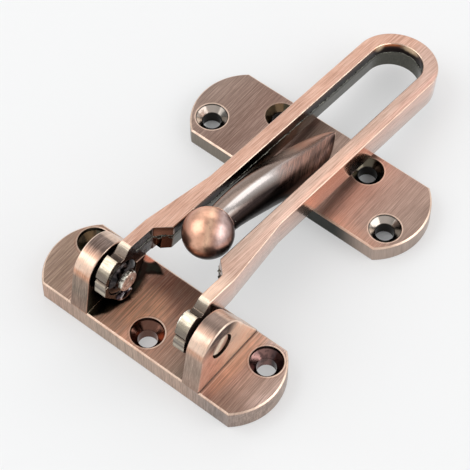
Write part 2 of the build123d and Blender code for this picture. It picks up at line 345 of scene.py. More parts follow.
    # the outer faces above the pivot are painted dark grey, partly unburnished metal and partly painted shade
    crown = f.both(f.step(hub, 3.5, 4.2), f.both(f.step(around, 0.0, 50.0), f.step(around, 165.0, 115.0)))
    face_col = f.mix(f.m("MULTIPLY", crown, 0.95), face_col, colour(52, 44, 46))
    base = f.mix(ear, base, f.mix(on_side, rim_marks_and_sheen, face_col))
    outer_rim = f.both(f.step(ax, EAR_OUT - 0.55, EAR_OUT - 0.35), f.step(anx, 0.1, 0.3))
    # a bright line on the outer rim's edge above the pivot, partly a worn edge and partly a painted highlight
    corner = f.both(f.step(hub, 7.3, 7.5), outer_rim)
    corner = f.both(corner, f.both(f.step(around, 30.0, 60.0), f.step(z, 14.0, 16.0)))

    # oxide where the belt didn't reach: on the ears' inner faces and in the holes; beside the left ear, under
    # the pivot, the plate is painted dark as a painted shade and reflection of the knuckle
    inner_wall = f.both(f.step(anx, 0.6, 0.9), f.step(z, BASE_T, BASE_T + 0.12))
    inner_wall = f.both(inner_wall, f.step(ax, EAR_IN + 0.1, EAR_IN + 0.6, 1.0, 0.0))
    edge = f.curve(y, (
        (-12.2, -14.8), (-8.3, -12.0), (-4.5, -11.2), (-1.3, -10.0), (3.5, -10.4), (7.2, -11.4),
        (8.6, -9.8), (9.8, -8.2), (11.0, -9.6), (12.2, -12.8)))
    waver = f.m("MULTIPLY", f.m("SUBTRACT", f.noise(f.p, 0.3, 2, 0.5), 0.5), 1.4)
    reach = f.m("SUBTRACT", f.m("ADD", x, waver), edge)
    left_ear_shade = f.both(f.both(f.step(reach, 1.0, -1.0), f.step(x, -EAR_IN - 0.6, -EAR_IN - 0.2)), plate_top)
    spared = f.distance((-15.0, 12.4, 0), drop=2)
    base = f.mix(f.both(f.step(spared, 2.6, 1.8), plate_top), base, colour(232, 138, 108))
    left_ear_shade = f.both(left_ear_shade, f.step(spared, 1.9, 2.7))
    dark = f.either(inner_wall, f.m("MULTIPLY", left_ear_shade, 0.96))
    copper_dark = colour(150, 84, 60)
    hole_col = colour(112, 78, 66)
    holes = 0.0
    # each hole's cone is painted lighter on one side and darker on the other, a painted highlight and shade
    for hx, hy in HINGE_HOLES:
        d = f.distance((hx, hy, 0), drop=2)
        inside = f.step(d, 4.56, 4.66, 1.0, 0.0)
        holes = f.either(holes, inside)
        if hx < 0:
            cone = f.mix(f.step(nx, -0.5, 0.5), colour(44, 42, 34), colour(88, 84, 70))
        elif hx > 0:
            cone = f.mix(f.step(nx, -0.1, 0.6), colour(62, 50, 52), colour(150, 114, 108))
            cone = f.mix(f.step(f.noise(f.p, 0.6, 2, 0.5), 0.46, 0.6, 0.0, 0.5), cone, colour(40, 34, 40))
        else:
            lit_side = f.both(f.step(nx, -0.2, -0.7), f.step(ny, -0.1, -0.5))
            cone = f.mix(lit_side, colour(112, 78, 66), colour(226, 138, 98))
        hole_col = f.mix(inside, hole_col, cone)
        # the rim of each hole is rubbed bright outside, brighter towards +x and +y as a painted highlight,
        # and black just inside
        side = f.m("ADD", f.m("SUBTRACT", x, hx), f.m("MULTIPLY", f.m("SUBTRACT", y, hy), 0.6))
        rim_wear_and_sheen = f.step(side, -3.0, 3.0, 0.25, 1.0)
        base = f.mix(f.both(f.line(d, 4.86, 0.34), f.both(plate_top, rim_wear_and_sheen)), base, BRIGHT)
        base = f.mix(f.both(f.line(d, 5.15, 0.35), f.m("MULTIPLY", plate_top, 0.35)), base, copper_dark)
    hole_col = f.mix(f.step(z, BASE_T - 0.55, BASE_T - 0.15), hole_col, BLACK)
    # the gap round each pin's outer end is painted dark, a painted shade
    mouth = f.both(f.step(hub, 3.66, 3.72, 1.0, 0.0), f.step(ax, EAR_OUT - 2.5, EAR_OUT - 2.0))
    dark = f.either(dark, mouth)
    # the corner between ear and plate keeps a thin dark line
    crease = f.both(f.line(ax, EAR_OUT, 0.4), f.line(z, BASE_T, 0.5))
    dark = f.either(dark, f.m("MULTIPLY", crease, 0.85))
    # the painted shade beside the left ear: greener in patches and olive towards the front
    left_shade_mottle = f.both(f.step(f.noise(f.p, 0.35, 2, 0.5), 0.46, 0.62), left_ear_shade)
    oxide = f.mix(f.both(f.step(marks, 0.3, 0.7), f.invert(left_ear_shade)), BLACK, colour(60, 52, 47))
    oxide = f.mix(f.both(left_shade_mottle, 0.8), oxide, colour(24, 36, 31))
    oxide = f.mix(f.both(left_ear_shade, f.step(y, -5.5, -10.0, 0.0, 0.9)), oxide, colour(170, 160, 132))
    base = f.mix(dark, base, oxide)
    base = f.mix(holes, base, hole_col)
    dark = f.either(dark, f.m("MULTIPLY", holes, 0.9))

    # rubbed edges show bright metal
    break_face = f.both(f.step(nz, 0.35, 0.5), f.step(nz, 0.93, 0.85))
    rub = f.either(f.both(break_face, f.step(z, 6.0, 6.2)), f.m("MULTIPLY", worn, 0.6))
    rub = f.both(rub, f.step(z, 5.7, 6.1))
    rub = f.both(rub, f.step(f.noise(f.p, 0.35, 3, 0.6), 0.25, 0.6, 0.45, 1.0))
    beside = f.both(f.line(ax, EAR_OUT + 0.75, 0.35), f.both(plate_top, 0.5))
    rub = f.either(f.either(rub, beside), corner)
    rub = f.both(rub, f.invert(f.both(dark, 0.9)))
    base = f.mix(f.m("MULTIPLY", rub, 0.85), base, BRIGHT)
    base = f.belt_lines(
        base, fine, f.invert(dark), (0.24, colour(246, 214, 196)), (0.27, colour(84, 58, 48)))

    rough = f.blend(dark, f.step(marks, 0.3, 0.7, 0.38, 0.28), 0.15)
    relief = f.m("ADD", marks, f.m("MULTIPLY", fine, 0.6))
    relief = f.both(relief, f.invert(f.both(dark, 0.85)))
    flat = f.either(plate_top, f.both(f.both(on_side, ear), f.step(ax, EAR_OUT - 0.3, EAR_OUT - 0.1)))
    metal = f.step(f.both(flat, f.invert(dark)), 0.2, 0.8, 1.0, 0.5)
    return f.finish(base, rough, [(relief, 0.045), (f.noise(f.p, 0.5, 2, 0.5), 0.04)], soft, metal)


# Swing bar
def bar_finish():
    f = Finish("antique_copper_bar")
    shifted = f.v("SUBTRACT", f.p, PIVOT)
    f.p = f.turn_x(shifted, TILT)
    f.n = f.turn_x(f.normal, TILT)
    x, y, z = f.split(f.p)
    nx, _, nz = f.split(f.n)
    ax, anx = f.m("ABSOLUTE", x), f.m("ABSOLUTE", nx)
    worn, soft = f.edges(0.25)

    # belt marks run along the arms
    marks = f.stretched((4.2, 0.09, 3.4), 4, 0.75)
    fine = f.stretched((5.2, 0.12, 4.8), 3, 0.7)
    patches = f.noise(f.p, 0.08, 2, 0.5)
    streaks = f.step(f.m("ADD", f.m("MULTIPLY", marks, 0.8), f.m("MULTIPLY", patches, 0.35)), 0.38, 0.72)

    left = f.mix(streaks, colour(184, 143, 124), colour(214, 170, 149))
    # the right arm's top is painted bright at the hinge end, darker past the knuckle and lighter along the
    # middle, a painted highlight and shade
    right = f.mix(streaks, f.ramp(y, 0.0, 105.0, (
        (0.0, colour(230, 188, 162)), (8.0, colour(236, 194, 170)), (14.0, colour(174, 140, 124)),
        (24.0, colour(186, 152, 136)), (38.0, colour(206, 168, 150)), (62.0, colour(208, 162, 142)),
        (84.0, colour(188, 150, 133)), (105.0, colour(188, 148, 134)))), f.ramp(y, 0.0, 105.0, (
        (0.0, colour(255, 228, 202)), (8.0, colour(255, 228, 206)), (14.0, colour(210, 174, 156)),
        (24.0, colour(222, 186, 168)), (38.0, colour(244, 206, 188)), (62.0, colour(248, 198, 174)),
        (84.0, colour(226, 184, 166)), (105.0, colour(228, 184, 168)))))
    right = f.mix(f.both(f.step(y, 12.0, 20.0), f.step(x, 11.2, 9.6, 0.0, 0.5)), right, colour(172, 152, 138))
    base = f.mix(f.step(x, -2.0, 4.0), left, right)
    # outer walls: copper above, greyer towards the underside
    outer = f.step(nz, 0.3, 0.6, 1.0, 0.0)
    copper_wall = f.mix(streaks, colour(216, 176, 160), colour(242, 206, 190))
    wall = f.mix(f.step(z, BAR_TOP - BAR_H, BAR_TOP - 1.0), colour(216, 196, 188), copper_wall)
    base = f.mix(outer, base, wall)

    # slot walls keep the oxide: glossy black above the parting line, grey-green below it
    side = f.both(f.step(anx, 0.5, 0.7), f.step(ax, SLOT_HALF + 0.25, SLOT_HALF + 0.5, 1.0, 0.0))
    in_wide = f.step(ax, SLOT_WIDE + 0.2, SLOT_WIDE + 0.5, 1.0, 0.0)
    wide = f.both(f.step(y, LIP_END + 0.4, LIP_END - 0.2), in_wide)
    in_round = f.step(f.distance((0, U_CENTRE, 0), drop=2), SLOT_HALF + 0.3, SLOT_HALF + 0.6, 1.0, 0.0)
    round_end = f.both(f.step(y, U_CENTRE - 1.0, U_CENTRE), in_round)
    not_top = f.step(f.m("ABSOLUTE", nz), 0.80, 0.9, 1.0, 0.0)
    straight = f.both(f.either(side, wide), f.step(y, U_CENTRE + 1.0, U_CENTRE))
    slot_wall = f.both(f.either(straight, round_end), not_top)
    ragged = f.m("MULTIPLY", f.m("SUBTRACT", f.noise(f.p, 0.9, 3, 0.7), 0.5), 1.0)
    lower = f.step(f.m("SUBTRACT", z, f.m("ADD", PARTING, ragged)), -0.15, 0.15, 1.0, 0.0)
    lips = f.step(y, LIP_END + 1.0, LIP_END - 0.5)
    upper_col = f.mix(lips, colour(34, 28, 27), colour(200, 172, 158))
    # reddened copper along the slot's top edge at the closed end
    singed = f.step(f.m("ADD", y, x), U_CENTRE + 6.5, U_CENTRE + 1.0)
    singed = f.both(f.step(z, BAR_TOP - 1.3, BAR_TOP - 0.3), singed)
    singed = f.both(singed, f.step(y, U_CENTRE - 2.0, U_CENTRE + 2.0))
    upper_col = f.mix(f.step(z, BAR_TOP - 2.0, BAR_TOP - 0.5, 0.0, 0.6), upper_col, colour(96, 70, 62))
    upper_col = f.mix(f.both(singed, 0.8), upper_col, colour(206, 124, 78))
    lower_col = f.mix(lips, GREEN_OXIDE, colour(116, 90, 78))
    wall_col = f.mix(lower, upper_col, lower_col)
    base = f.mix(slot_wall, base, wall_col)

    # knuckles: pale rims that darken towards the tooth, in bands of painted highlight and shade set by the
    # angle round the pivot, dark inner faces and washer seats
    knuckle = f.step(f.m("ADD", y, f.m("MULTIPLY", z, 0.15)), 4.6, 3.6)
    rim = f.both(knuckle, f.step(anx, 0.4, 0.6, 1.0, 0.0))
    around = f.angle(z, f.m("MULTIPLY", y, -1.0))
    rim_marks_and_sheen = f.ramp(around, -120.0, 120.0, (
        (-120.0, colour(70, 60, 56)), (-50.0, colour(96, 84, 78)), (-18.0, colour(150, 140, 126)),
        (-10.0, colour(196, 186, 168)), (-2.0, colour(104, 96, 88)), (5.0, colour(160, 150, 136)),
        (12.0, colour(150, 142, 128)), (17.0, colour(36, 30, 28)), (20.0, colour(116, 108, 98)),
        (38.0, colour(138, 130, 118)), (44.0, colour(196, 186, 166)), (68.0, colour(222, 210, 188)),
        (78.0, colour(140, 130, 118)), (84.0, colour(46, 38, 36)), (100.0, colour(126, 116, 106)),
        (108.0, colour(214, 204, 184)), (120.0, colour(222, 206, 184))))
    brushed = f.stretched((0.4, 2.0, 2.0), 3)
    rim_marks_and_sheen = f.mix(f.step(brushed, 0.35, 0.65, 0.35, 0.0), rim_marks_and_sheen, colour(96, 86, 78))
    base = f.mix(f.m("MULTIPLY", rim, 0.95), base, rim_marks_and_sheen)
    inward = f.step(ax, SLOT_WIDE + 1.9, SLOT_WIDE + 2.3, 1.0, 0.0)
    in_face = f.both(f.step(y, 14.0, 10.0), f.step(anx, 0.6, 0.9))
    in_face = f.both(in_face, inward)
    base = f.mix(in_face, base, f.mix(f.step(brushed, 0.35, 0.65), colour(20, 17, 19), colour(78, 66, 64)))
    hub = f.distance((0, 0, 0), drop=0)
    # the washer seats are painted black, a painted shade
    seat = f.both(f.both(f.step(hub, 5.5, 5.7, 1.0, 0.0), inward), f.step(y, 8.0, 7.0))
    base = f.mix(seat, base, BLACK)
    # the underside is painted dark, a painted shade
    below = f.both(f.step(z, BAR_TOP - BAR_H + 0.4, BAR_TOP - BAR_H - 0.2), f.step(nz, 0.2, -0.1))
    base = f.mix(f.both(below, f.invert(rim)), base, DARK_SHADE)
    dark = f.either(f.either(f.both(slot_wall, f.blend(lower, 1.0, 0.7)), in_face), f.both(below, 0.8))

    # two worn spots on the slot's edge at the closed end
    bite = f.v("MULTIPLY", f.v("SUBTRACT", f.p, (-0.2, U_CENTRE + 7.9, BAR_TOP - 0.5)), (0.34, 0.34, 0.8))
    chip = f.step(f.m("ADD", f.v("LENGTH", bite, out=1), f.m("MULTIPLY", ragged, 0.9)), 1.35, 0.3)
    chip = f.both(f.either(chip, f.step(f.distance((-7.4, U_CENTRE + 2.4, 8.9)), 2.1, 0.3)), slot_wall)
    base = f.mix(chip, base, colour(218, 190, 156))
    dark = f.both(dark, f.invert(chip))
    break_face = f.both(f.step(nz, 0.25, 0.45), f.step(nz, 0.97, 0.88))
    rub = f.either(f.both(break_face, f.invert(knuckle)), f.m("MULTIPLY", worn, 0.5))
    rub = f.either(rub, f.both(f.both(worn, knuckle), f.step(f.noise(f.p, 0.5, 2, 0.5), 0.40, 0.58)))
    rub = f.both(rub, f.step(f.noise(f.p, 0.3, 3, 0.6), 0.25, 0.6, 0.5, 1.0))
    base = f.mix(f.m("MULTIPLY", rub, 0.7), base, BRIGHT)
    plain = f.invert(f.either(dark, rim))
    base = f.belt_lines(base, fine, plain, (0.34, colour(250, 222, 206)), (0.38, colour(124, 88, 74)))

    rough = f.blend(dark, f.step(marks, 0.3, 0.7, 0.36, 0.28), 0.16)
    rough = f.blend(rim, rough, 0.2)
    outer_wall = f.both(outer, f.both(f.invert(knuckle), f.invert(dark)))
    rough = f.blend(outer_wall, rough, 0.15)
    smooth = f.either(outer_wall, f.either(dark, rim))
    relief = f.both(f.m("ADD", marks, f.m("MULTIPLY", fine, 0.6)), f.invert(f.both(smooth, 0.95)))
    cast = f.both(f.noise(f.p, 0.9, 3, 0.6), in_face)
    return f.finish(base, rough, [(relief, 0.03), (cast, 0.12), (f.noise(f.p, 0.45, 2, 0.5), 0.04)], soft)


# Strike
def strike_finish():
    f = Finish("antique_copper_strike")
    x, y, z = f.split(f.p)
    nx, ny, nz = f.split(f.n)
    _, soft = f.edges(0.3)
    ball = f.step(f.distance(BALL), BALL_R + 0.05, BALL_R + 0.15, 1.0, 0.0)
    above_plate = f.step(z, STRIKE_T + 0.03, STRIKE_T + 0.08)
    horn = f.both(f.either(above_plate, f.step(y, 52.1, 51.9)), f.invert(ball))

    marks = f.stretched((2.8, 0.04, 0.1), 4, 0.65)
    fine = f.stretched((6.0, 0.13, 0.5), 3, 0.7)
    patches = f.noise(f.p, 0.09, 2, 0.5)
    streaks = f.step(f.m("ADD", f.m("MULTIPLY", marks, 0.75), f.m("MULTIPLY", patches, 0.45)), 0.40, 0.78)
    top_col = f.ramp(x, -40.0, 38.0, (
        (-40.0, colour(166, 144, 132)), (-24.0, colour(146, 118, 106)), (-12.0, colour(168, 140, 128)),
        (4.0, colour(172, 146, 132)), (14.0, colour(212, 164, 146)), (26.0, colour(194, 160, 145)),
        (38.0, colour(180, 154, 140))))
    left_front = f.both(f.step(y, 58.0, 53.0), f.step(x, 10.0, 16.0))
    top_col = f.mix(f.both(left_front, 0.35), top_col, colour(246, 178, 148))
    base = f.mix(streaks, f.mix(0.33, top_col, colour(84, 66, 58)), top_col)
    flank = f.both(f.step(nz, 0.2, 0.5, 1.0, 0.0), f.step(z, STRIKE_T - 0.3, STRIKE_T + 0.1, 1.0, 0.0))
    side_col = f.mix(f.step(x, -10.0, 30.0), colour(140, 131, 120), colour(188, 168, 156))
    # a painted shadow of the bar's right arm darkens the flank in the middle
    side_col = f.mix(f.both(f.step(x, 2.0, 8.0), f.step(x, 28.0, 16.0)), side_col, colour(38, 44, 40))
    base = f.mix(flank, base, f.mix(streaks, f.mix(0.3, side_col, colour(80, 72, 66)), side_col))
    break_face = f.both(f.step(nz, 0.35, 0.5), f.step(nz, 0.93, 0.85))
    at_top = f.both(f.step(z, STRIKE_T - 0.6, STRIKE_T - 0.4), f.step(z, STRIKE_T + 0.3, STRIKE_T + 0.1))
    rub = f.both(break_face, at_top)
    rub = f.both(rub, f.step(f.noise(f.p, 0.35, 3, 0.6), 0.25, 0.6, 0.5, 1.0))
    top = f.both(f.step(nz, 0.9, 0.98), f.invert(f.either(horn, ball)))

    # the screw holes: how bright each rim is rubbed, and how much painted shade darkens its cone
    sx, sy = STRIKE_MIDDLE
    dark, bore, shaded = 0.0, 0.0, 0.0
    for (hx, hy), ring, shade in zip(STRIKE_HOLES, (0.8, 0.8, 0.15, 0.6), (0.0, 0.0, 1.0, 0.9)):
        d = f.distance((sx + hx, sy + hy, 0), drop=2)
        dark = f.either(dark, f.step(d, 4.5, 4.62, 1.0, 0.0))
        bore = f.either(bore, f.step(d, 2.75, 2.95, 1.0, 0.0))
        shaded = f.either(shaded, f.step(d, 4.5, 4.62, shade, 0.0))
        base = f.mix(f.both(f.line(d, 4.78, 0.24), f.m("MULTIPLY", top, ring)), base, BRIGHT)
    # the cones are painted lighter on the walls facing +x, a painted highlight, and the narrow bores are
    # painted dark, a painted shade
    hole_col = f.mix(f.step(nx, -0.4, 0.4), colour(104, 101, 96), colour(196, 184, 174))
    hole_col = f.mix(f.step(z, STRIKE_T - 0.4, STRIKE_T - 0.1), hole_col, BLACK)
    hole_col = f.mix(shaded, hole_col, f.mix(f.step(nx, -0.5, 0.5), colour(44, 40, 32), colour(84, 78, 62)))
    hole_col = f.mix(bore, hole_col, colour(58, 55, 52))

    # the horn, coloured by which way it faces: a painted highlight on its crown, tan on its left, and painted
    # shade on its right and beneath
    lean = f.m("ADD", f.m("MULTIPLY", ny, 0.37), f.m("MULTIPLY", nz, 0.93))
    around = f.angle(nx, lean)
    horn_col = f.ramp(around, -180.0, 180.0, (
        (-180.0, colour(60, 50, 46)), (-110.0, colour(80, 66, 60)), (-72.0, colour(146, 124, 112)),
        (-2.0, colour(150, 132, 122)), (5.0, colour(232, 224, 220)), (17.0, colour(222, 213, 209)),
        (27.0, colour(172, 162, 157)), (36.0, colour(120, 106, 100)), (44.0, colour(46, 37, 35)),
        (180.0, colour(38, 32, 31))))
    # the crown's painted highlight fades towards the plate
    fading = f.both(f.step(around, 0.0, 6.0), f.step(around, 28.0, 16.0))
    fading = f.both(fading, f.step(y, 42.0, 54.0, 0.0, 0.75))
    horn_col = f.mix(fading, horn_col, colour(158, 146, 142))
    worn_root = f.step(f.m("ADD", y, f.m("MULTIPLY", patches, 10.0)), 48.0, 62.0)
    worn_root = f.both(worn_root, f.step(around, -6.0, 14.0))
    worn_root = f.both(worn_root, f.step(around, 75.0, 50.0))
    over = f.m("ADD", f.m("MULTIPLY", x, 0.88), f.m("MULTIPLY", y, 0.47))
    along = f.m("SUBTRACT", f.m("MULTIPLY", y, 0.88), f.m("MULTIPLY", x, 0.47))
    strokes = f.noise(f.vec(f.m("MULTIPLY", over, 4.0), f.m("MULTIPLY", along, 0.14), 0.37), 1.0, 3, 0.75)
    copper = f.mix(f.step(strokes, 0.35, 0.65), colour(122, 92, 84), colour(206, 160, 142))
    horn_col = f.mix(f.both(worn_root, f.step(strokes, 0.25, 0.5, 0.6, 1.0)), horn_col, copper)
    speck = f.noise(f.p, 1.6, 3, 0.7)
    tan = f.both(f.step(around, -90.0, -70.0), f.step(around, -2.0, -8.0))
    horn_col = f.mix(f.both(tan, f.step(speck, 0.40, 0.66, 0.0, 0.35)), horn_col, colour(118, 97, 85))
    # towards the plate the left flank is painted tan, partly rubbed metal and partly painted light, with a
    # painted copper highlight along its crest
    flank_tan_and_sheen = f.both(f.step(y, 46.0, 62.0), f.step(around, 16.0, -22.0))
    crest = f.step(f.m("ADD", y, f.m("MULTIPLY", strokes, 6.0)), 60.0, 68.0)
    rubbed = f.mix(strokes, colour(172, 142, 128), colour(214, 184, 168))
    horn_col = f.mix(flank_tan_and_sheen, horn_col, f.mix(crest, rubbed, colour(230, 172, 146)))
    # painted shade on the horn's right side near the plate
    horn_end_shade = f.both(f.both(f.step(y, 70.0, 75.0), f.step(around, 10.0, 35.0)), 0.8)
    horn_col = f.mix(horn_end_shade, horn_col, DARK_SHADE)
    base = f.mix(horn, base, horn_col)

    # the ball, coloured by which way it faces: two painted highlights with a darker band between them, and a
    # painted shade round its underside
    swirl = f.stretched((0.45, 0.45, 0.3), 3, 0.7)
    turned = f.v("DOT_PRODUCT", f.n, (0.866, 0.488, -0.116), out=1)
    turned = f.m("ADD", turned, f.m("MULTIPLY", f.m("SUBTRACT", swirl, 0.5), 0.25))
    ball_col = f.ramp(turned, -1.0, 1.0, (
        (-1.0, colour(158, 122, 106)), (-0.72, colour(208, 158, 136)), (-0.42, colour(238, 186, 158)),
        (-0.16, colour(238, 184, 155)), (0.02, colour(255, 208, 176)), (0.17, colour(220, 172, 148)),
        (0.28, colour(188, 150, 137)), (0.46, colour(214, 186, 180)), (0.7, colour(168, 142, 137)),
        (1.0, colour(100, 84, 80))))
    speckle = f.noise(f.p, 0.9, 2, 0.6)
    ball_col = f.mix(f.step(speckle, 0.45, 0.75, 0.0, 0.3), ball_col, colour(140, 102, 88))
    pits = f.both(f.step(f.noise(f.p, 0.3, 2, 0.5), 0.40, 0.66), f.step(nz, 0.58, 0.25))
    ball_col = f.mix(f.m("MULTIPLY", pits, 0.6), ball_col, colour(76, 48, 38))
    ball_col = f.mix(f.step(f.m("ADD", nz, f.m("MULTIPLY", swirl, 0.3)), 0.30, -0.05), ball_col, DARK_SHADE)
    base = f.mix(ball, base, ball_col)

    base = f.mix(f.m("MULTIPLY", rub, 0.75), base, BRIGHT)
    base = f.belt_lines(base, fine, top, (0.25, colour(240, 210, 194)), (0.28, colour(78, 58, 50)))
    base = f.mix(dark, base, hole_col)

    rough = f.step(marks, 0.3, 0.7, 0.38, 0.28)
    rough = f.blend(horn, rough, f.blend(f.either(worn_root, flank_tan_and_sheen), 0.18, 0.32))
    rough = f.blend(f.both(f.step(around, 50.0, 64.0), horn), rough, 0.38)
    rough = f.blend(ball, rough, 0.33)
    rough = f.blend(dark, rough, 0.15)
    relief = f.both(f.m("ADD", marks, f.m("MULTIPLY", fine, 0.6)), f.both(top, f.invert(dark)))
    grain = f.both(strokes, f.both(horn, worn_root))
    uneven = f.both(f.noise(f.p, 0.4, 2, 0.5), f.invert(f.m("MULTIPLY", ball, 0.85)))
    return f.finish(base, rough, [(relief, 0.045), (grain, 0.02), (uneven, 0.04)], soft,
                    f.blend(f.both(flank_tan_and_sheen, horn), 1.0, 0.35))


# Pins and washers
def plain_metal(name, light, shade, rough, grain=1.2, depth=0.02, radius=0.15):
    f = Finish(name)
    worn, soft = f.edges(radius)
    mottle = f.noise(f.p, grain, 3, 0.6)
    base = f.mix(f.step(mottle, 0.35, 0.65), shade, light)
    base = f.mix(f.m("MULTIPLY", worn, 0.5), base, tuple(min(1.0, v * 1.35) for v in light[:3]) + (1.0,))
    return f.finish(base, f.step(mottle, 0.3, 0.7, rough, rough + 0.08), [(mottle, depth)], soft)


def pin_finish():
    """Mottled heads with silvery sides, and paler, duller outer ends, painted dark at the top front and pale
    across the middle as a painted shade and highlight.
    """
    f = Finish("worn_pin")
    x, y, z = f.split(f.p)
    nx = f.split(f.n)[0]
    _, soft = f.edges(0.12)
    mottle = f.noise(f.p, 1.5, 4, 0.7)
    face = f.mix(f.step(mottle, 0.38, 0.62), colour(168, 134, 118), colour(236, 206, 190))
    side = f.step(f.m("ABSOLUTE", nx), 0.9, 0.6)
    base = f.mix(side, face, f.mix(f.step(mottle, 0.36, 0.5), colour(120, 112, 100), colour(240, 236, 222)))
    outer = f.step(f.m("ABSOLUTE", x), 15.0, 16.0)
    # the outer end is painted dark at the top front, pale across the middle and brown at the bottom back, a
    # painted shade and highlight
    tilted = f.m("SUBTRACT", f.m("SUBTRACT", z, PIVOT[2]), f.m("SUBTRACT", y, PIVOT[1]))
    end = f.ramp(tilted, -4.4, 4.4, (
        (-4.4, colour(140, 102, 86)), (-2.2, colour(214, 172, 150)), (-0.6, colour(255, 240, 218)),
        (0.8, colour(246, 222, 200)), (2.2, colour(140, 124, 114)), (4.4, colour(66, 60, 56))))
    end = f.mix(f.step(mottle, 0.35, 0.65, 0.25, 0.0), end, colour(140, 108, 94))
    base = f.mix(outer, base, f.mix(f.both(side, 0.8), end, BRIGHT))
    rough = f.blend(outer, f.blend(side, 0.34, 0.16), 0.5)
    return f.finish(base, rough, [(mottle, 0.03)], soft, f.blend(outer, f.blend(side, 0.45, 1.0), 0.35))


def repaint(node, mat):
    for s in nodes[node].material_slots:
        s.material = mat


repaint("hinge_base", hinge_finish())
repaint("swing_bar", bar_finish())
repaint("strike", strike_finish())
pin_mat = pin_finish()
ring_mat = plain_metal("friction_ring", colour(206, 198, 188), colour(150, 142, 134), 0.2)
spring_mat = plain_metal("dark_spring", colour(74, 68, 68), colour(34, 32, 33), 0.10, 0.8, 0.05)
thrust_mat = plain_metal("thrust_ring", colour(40, 34, 32), colour(24, 20, 20), 0.35)
for side in ("left", "right"):
    repaint("pivot_pin_" + side, pin_mat)
    repaint("friction_washer_" + side, ring_mat)
    repaint("spring_washer_" + side, spring_mat)
    repaint("thrust_washer_" + side, thrust_mat)


# Casting flash, burrs and peening marks
def sided(name, side):
    """The name of the piece on that side."""
    return name + ("_right" if side > 0 else "_left")


def new_piece(name, verts, faces, mat, body, smooth=False):
    mesh = bpy.data.meshes.new(name)
    mesh.from_pydata([Vector(v) / 1000 for v in verts], [], faces)
    mesh.validate()
    if smooth:
        mesh.polygons.foreach_set("use_smooth", [True] * len(mesh.polygons))
    mesh.materials.append(mat)
    obj = bpy.data.objects.new(name, mesh)
    bpy.context.scene.collection.objects.link(obj)
    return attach(obj, body)


def on_bar(x, y, z):
    """A point of the bar's own frame, in the row frame."""
    turn = Matrix.Rotation(math.radians(-TILT), 3, "X")
    return turn @ Vector((x, y, z)) + Vector(PIVOT)


def jitter(seed, t, scale):
    """Steady noise from 0 to 1 along t."""
    return max(0.0, min(1.0, 0.5 + 0.9 * noise.noise(Vector((t * scale, seed * 7.3, 0.37)))))


def ridge(name, path, mat, body, seed, reach, height, sunk=0.12, wander=0.2):
    """A ragged fin along a wall. The path is (point, out of the wall, along the part line's normal)."""
    verts, faces = [], []
    for i, (at, out, over) in enumerate(path):
        t = i * 0.25
        grow = jitter(seed, t, 1.1) ** 2 * (0.35 + 0.65 * jitter(seed + 3, t, 4.0))
        far = out * (0.04 + reach * grow)
        tall = height * (0.35 + 0.65 * jitter(seed + 5, t, 2.3))
        shift = over * (wander * (jitter(seed + 9, t, 0.8) - 0.5) * 2)
        base = at + shift
        verts += [base - out * sunk - over * tall, base - over * tall * 0.8, base + far - over * tall * 0.25,
                  base + far + over * tall * 0.25, base + over * tall * 0.8, base - out * sunk + over * tall]
    n = 6
    for i in range(len(path) - 1):
        for j in range(n):
            a, b = i * n + j, i * n + (j + 1) % n
            faces.append((a, b, b + n, a + n))
    faces.append(tuple(range(n))[::-1])
    faces.append(tuple(range(len(verts) - n, len(verts))))
    return new_piece(name, verts, faces, mat, body)


def along(points, step=0.25):
    """Evenly spaced points on a polyline, with the direction at each."""
    found = []
    for a, b in zip(points, points[1:]):
        a, b = Vector(a), Vector(b)
        count = max(1, round((b - a).length / step))
        for i in range(count):
            found.append((a.lerp(b, i / count), (b - a).normalized()))
    found.append((Vector(points[-1]), found[-1][1]))
    return found


slot_at_parting = SLOT_HALF - (BAR_TOP - PARTING) * math.tan(math.radians(SLOT_DRAFT))
turns = [math.radians(180 * i / 40) for i in range(1, 40)]
lip_line = [(SLOT_WIDE, LIP_START), (slot_at_parting, LIP_END)]
wall_line = [(SLOT_WIDE, 5.0), *lip_line, (slot_at_parting, U_CENTRE)]
wall_line += [(slot_at_parting * math.cos(t), U_CENTRE + slot_at_parting * math.sin(t)) for t in turns]
wall_line += [(-x, y) for x, y in wall_line[3::-1]]
over = on_bar(0, 0, 1) - on_bar(0, 0, 0)
flash_path = []
for at, way in along(wall_line):
    inward = on_bar(-way.y, way.x, 0) - on_bar(0, 0, 0)
    flash_path.append((on_bar(at.x, at.y, PARTING), inward, over))
flash_mat = plain_metal("dark_flash", colour(138, 138, 128), colour(40, 38, 36), 0.25, 1.2, 0.03)
ridge("slot_flash", flash_path, flash_mat, "bar", 1, 0.32, 0.16)
for side, seed in ((1, 21), (-1, 33)):
    lip = [(side * x, y) for x, y in ((SLOT_WIDE, 9.0), *lip_line)]
    path = []
    for at, way in along(lip, 0.2):
        inward = (on_bar(-way.y, way.x, 0) - on_bar(0, 0, 0)) * side
        path.append((on_bar(at.x, at.y, PARTING - 0.3), inward, over))
    ridge(sided("lip_burr", side), path, flash_mat, "bar", seed, 0.75, 0.34, wander=0.5)

# ragged metal round the top of the horn's neck, beside the ball
neck = Vector((-0.25, 24.5, 22.9))
down_horn = Vector((-0.2, 6.5, -1.5)).normalized()
across_horn = Vector((1, 0, 0)) - down_horn * down_horn.x
across_horn.normalize()
lift = across_horn.cross(down_horn)
ring_path = []
for i in range(61):
    t = math.radians(-150 + 3 * i)
    out = across_horn * math.cos(t) + lift * math.sin(t)
    ring_path.append((neck + down_horn * 0.75 + out * 4.28, out, down_horn))
ridge("neck_burr", ring_path, flash_mat, "units", 45, 0.5, 0.2)


